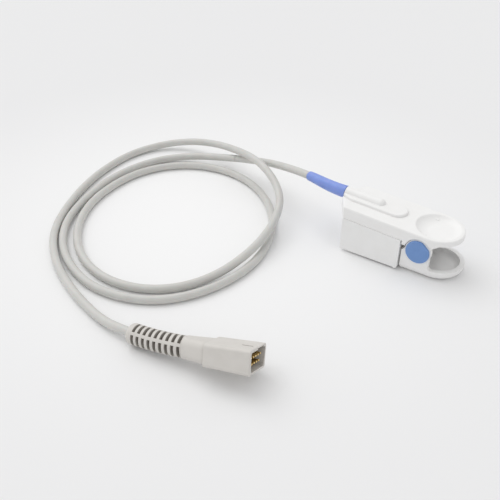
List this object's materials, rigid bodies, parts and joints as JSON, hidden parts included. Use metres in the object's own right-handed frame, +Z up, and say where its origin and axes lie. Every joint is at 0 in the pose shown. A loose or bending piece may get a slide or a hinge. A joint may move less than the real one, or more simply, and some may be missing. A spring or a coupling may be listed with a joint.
{
  "type": "finger clip pulse oximeter sensor",
  "caption": "Sprung finger clip with a light source and a detector for pulse oximetry, on a looped cable with a slotted boot and a D-type plug.",
  "frame": {"origin": "under the middle of the clip's box, without cable and plug, on the surface that the lower jaw stands on", "axes": "+X along the clip from the finger mouth to the squeeze tabs, +Y across the clip, +Z up"},
  "size_m": [0.2347, 0.1756, 0.0308],
  "materials": {
    "shell_white": "satin moulded ABS",
    "shield_white": "matt moulded plastic",
    "pad_silicone": "matt silicone rubber",
    "lens_clear": "clear epoxy",
    "led_body": "LED packages",
    "board_green": "solder-masked board",
    "boot_blue": "soft matt blue moulding",
    "cable_grey": "satin polyurethane jacket",
    "diode_dark": "dark epoxy package",
    "shield_copper": "copper foil",
    "steel": "bright steel",
    "cap_blue": "satin blue plastic",
    "lead_grey": "thin grey lead",
    "plug_grey": "warm grey overmould",
    "insert_black": "black connector insulator",
    "gold_pins": "gold-plated contacts"
  },
  "bodies": {
    "lower_jaw": {"lower_shell": "shell_white", "lower_pad": "pad_silicone", "detector_window": "lens_clear", "photodiode": "diode_dark", "detector_board": "board_green", "detector_shield": "shield_copper", "hinge_pin": "steel", "hinge_cap_near": "cap_blue", "hinge_cap_far": "cap_blue", "torsion_spring": "steel", "detector_lead": "lead_grey", "sensor_cable": "cable_grey", "plug_boot": "plug_grey", "plug_housing": "plug_grey", "plug_insert": "insert_black", "plug_pins": "gold_pins", "plug_board": "board_green", "plug_cable_end": "cable_grey"},
    "upper_jaw": {"upper_shell": "shell_white", "cable_cover": "shell_white", "side_shield_near": "shield_white", "side_shield_far": "shield_white", "upper_pad": "pad_silicone", "emitter_window": "lens_clear", "emitter_leds": "led_body", "emitter_board": "board_green", "sensor_boot": "boot_blue", "sensor_cable_end": "cable_grey"}
  },
  "joints": [
    {"name": "jaw_hinge", "type": "hinge", "parent": "lower_jaw", "child": "upper_jaw", "pos_m": [0.028, 0, 0.0147], "axis": [0, 1, 0], "range_deg": [0, 22], "stiffness_Nm_per_rad": 0.2, "springref_deg": -22.92, "deforming": ["torsion_spring", "detector_lead"]}
  ]
}
